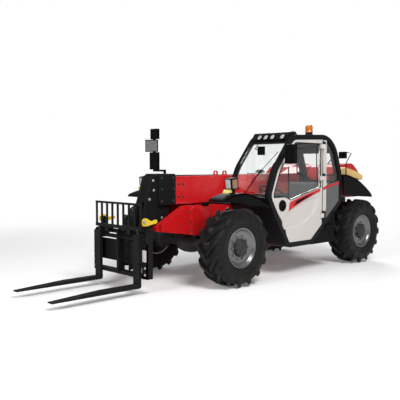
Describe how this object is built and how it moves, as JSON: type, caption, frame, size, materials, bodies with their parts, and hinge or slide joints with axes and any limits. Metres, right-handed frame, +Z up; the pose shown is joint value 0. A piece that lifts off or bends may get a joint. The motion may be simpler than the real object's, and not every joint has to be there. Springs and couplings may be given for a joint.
{
  "type": "compact telehandler",
  "caption": "Compact telehandler: telescopic boom on a rigid chassis, side cab with a hinged door, steered lugged wheels and a tilting fork carriage with a load guard.",
  "frame": {"origin": "on the ground, below the middle of the machine's box", "axes": "+X forward to the fork tips, +Y to the cab's side, +Z up"},
  "size_m": [5.687, 2.38, 2.0899],
  "materials": {
    "red_paint": "gloss",
    "black_paint": "satin",
    "axle_paint": "satin",
    "rim_paint": "satin",
    "engine_metal": "matte",
    "red_cover": "gloss",
    "black_moulding": "matte",
    "cab_paint": "satin",
    "pale_panel": "satin",
    "smoke_panel": "satin",
    "glass": "gloss",
    "seat_cloth": "matte",
    "lamp_lens": "gloss",
    "red_lens": "gloss",
    "amber_lens": "gloss",
    "prop_paint": "satin",
    "lever_paint": "satin",
    "rod_chrome": "polished",
    "tyre_rubber": "matte"
  },
  "bodies": {
    "chassis": {"chassis_frame": "red_paint", "axles": "axle_paint", "counterweight": "black_paint", "engine_block": "engine_metal", "engine_pod": "black_moulding", "rear_cowls": "red_cover", "cab_floor": "cab_paint", "cab_left_frame": "cab_paint", "cab_right_wall": "cab_paint", "cab_front": "cab_paint", "cab_rear": "cab_paint", "cab_roof": "cab_paint", "quarter_panel": "smoke_panel", "windscreen": "glass", "cab_glass": "glass", "seat": "seat_cloth", "steering_column": "black_moulding", "front_mudguards": "black_moulding", "rear_mudguards": "black_moulding", "headlamps": "lamp_lens", "tail_lamps": "red_lens", "roof_lamps": "lamp_lens", "beacon": "amber_lens", "mirrors": "black_moulding", "safety_prop": "prop_paint"},
    "boom": {"boom_outer": "red_paint"},
    "jib": {"boom_inner": "black_paint", "tilt_barrel": "axle_paint"},
    "tilt_rod": {"tilt_rod": "rod_chrome"},
    "lift_barrel": {"lift_barrel": "black_paint"},
    "lift_rod": {"lift_rod": "rod_chrome"},
    "carriage": {"carriage": "black_paint", "load_guard": "black_paint", "forks": "black_paint", "latch_levers": "lever_paint"},
    "door": {"door_panel": "pale_panel", "door_glass": "glass"},
    "bonnet": {"bonnet": "red_cover"},
    "knuckle_fl": {"knuckle_fl": "axle_paint"},
    "wheel_fl": {"rim_fl": "rim_paint", "tyre_fl": "tyre_rubber"},
    "knuckle_fr": {"knuckle_fr": "axle_paint"},
    "wheel_fr": {"rim_fr": "rim_paint", "tyre_fr": "tyre_rubber"},
    "knuckle_rl": {"knuckle_rl": "axle_paint"},
    "wheel_rl": {"rim_rl": "rim_paint", "tyre_rl": "tyre_rubber"},
    "knuckle_rr": {"knuckle_rr": "axle_paint"},
    "wheel_rr": {"rim_rr": "rim_paint", "tyre_rr": "tyre_rubber"}
  },
  "joints": [
    {"name": "boom_lift", "type": "hinge", "parent": "chassis", "child": "boom", "pos_m": [-2.2635, 0, 1.22], "axis": [0, -1, 0], "range_deg": [0, 65]},
    {"name": "boom_extend", "type": "slide", "parent": "boom", "child": "jib", "axis": [1, 0, 0], "range_m": [0, 2.2]},
    {"name": "carriage_tilt", "type": "hinge", "parent": "jib", "child": "carriage", "pos_m": [1.5115, 0, 0.33], "axis": [0, 1, 0], "range_deg": [-12, 110]},
    {"name": "tilt_rod_slide", "type": "slide", "parent": "jib", "child": "tilt_rod", "axis": [0.6366, 0, -0.7712], "range_m": [-0.04, 0.34]},
    {"name": "lift_barrel_swing", "type": "hinge", "parent": "chassis", "child": "lift_barrel", "pos_m": [-1.9135, 0, 0.55], "axis": [0, -1, 0], "range_deg": [0, 60]},
    {"name": "lift_rod_slide", "type": "slide", "parent": "lift_barrel", "child": "lift_rod", "axis": [0.9522, 0, 0.3055], "range_m": [0, 0.8]},
    {"name": "door_swing", "type": "hinge", "parent": "chassis", "child": "door", "pos_m": [-1.1755, 0.95, 1.2], "axis": [0, 0, 1], "range_deg": [0, 95]},
    {"name": "bonnet_lift", "type": "hinge", "parent": "chassis", "child": "bonnet", "pos_m": [-0.8385, -0.218, 1.1457], "axis": [-1, 0, 0], "range_deg": [0, 60]},
    {"name": "steer_fl", "type": "hinge", "parent": "chassis", "child": "knuckle_fl", "pos_m": [0.5365, 0.6, 0.49], "axis": [0, 0, 1], "range_deg": [-35, 35]},
    {"name": "spin_fl", "type": "hinge", "parent": "knuckle_fl", "child": "wheel_fl", "pos_m": [0.5365, 0.812, 0.49], "axis": [0, 1, 0], "continuous": true},
    {"name": "steer_fr", "type": "hinge", "parent": "chassis", "child": "knuckle_fr", "pos_m": [0.5365, -0.6, 0.49], "axis": [0, 0, 1], "range_deg": [-35, 35]},
    {"name": "spin_fr", "type": "hinge", "parent": "knuckle_fr", "child": "wheel_fr", "pos_m": [0.5365, -0.812, 0.49], "axis": [0, 1, 0], "continuous": true},
    {"name": "steer_rl", "type": "hinge", "parent": "chassis", "child": "knuckle_rl", "pos_m": [-2.2135, 0.6, 0.49], "axis": [0, 0, 1], "range_deg": [-35, 35]},
    {"name": "spin_rl", "type": "hinge", "parent": "knuckle_rl", "child": "wheel_rl", "pos_m": [-2.2135, 0.812, 0.49], "axis": [0, 1, 0], "continuous": true},
    {"name": "steer_rr", "type": "hinge", "parent": "chassis", "child": "knuckle_rr", "pos_m": [-2.2135, -0.6, 0.49], "axis": [0, 0, 1], "range_deg": [-35, 35]},
    {"name": "spin_rr", "type": "hinge", "parent": "knuckle_rr", "child": "wheel_rr", "pos_m": [-2.2135, -0.812, 0.49], "axis": [0, 1, 0], "continuous": true}
  ],
  "couplings": [
    {"joint": "tilt_rod_slide", "follows": "carriage_tilt", "m_per_rad": 0.17033},
    {"joint": "lift_barrel_swing", "follows": "boom_lift", "ratio": 0.86357},
    {"joint": "lift_rod_slide", "follows": "boom_lift", "m_per_rad": 0.68196},
    {"joint": "steer_fr", "follows": "steer_fl", "ratio": 1},
    {"joint": "steer_rr", "follows": "steer_rl", "ratio": 1}
  ]
}
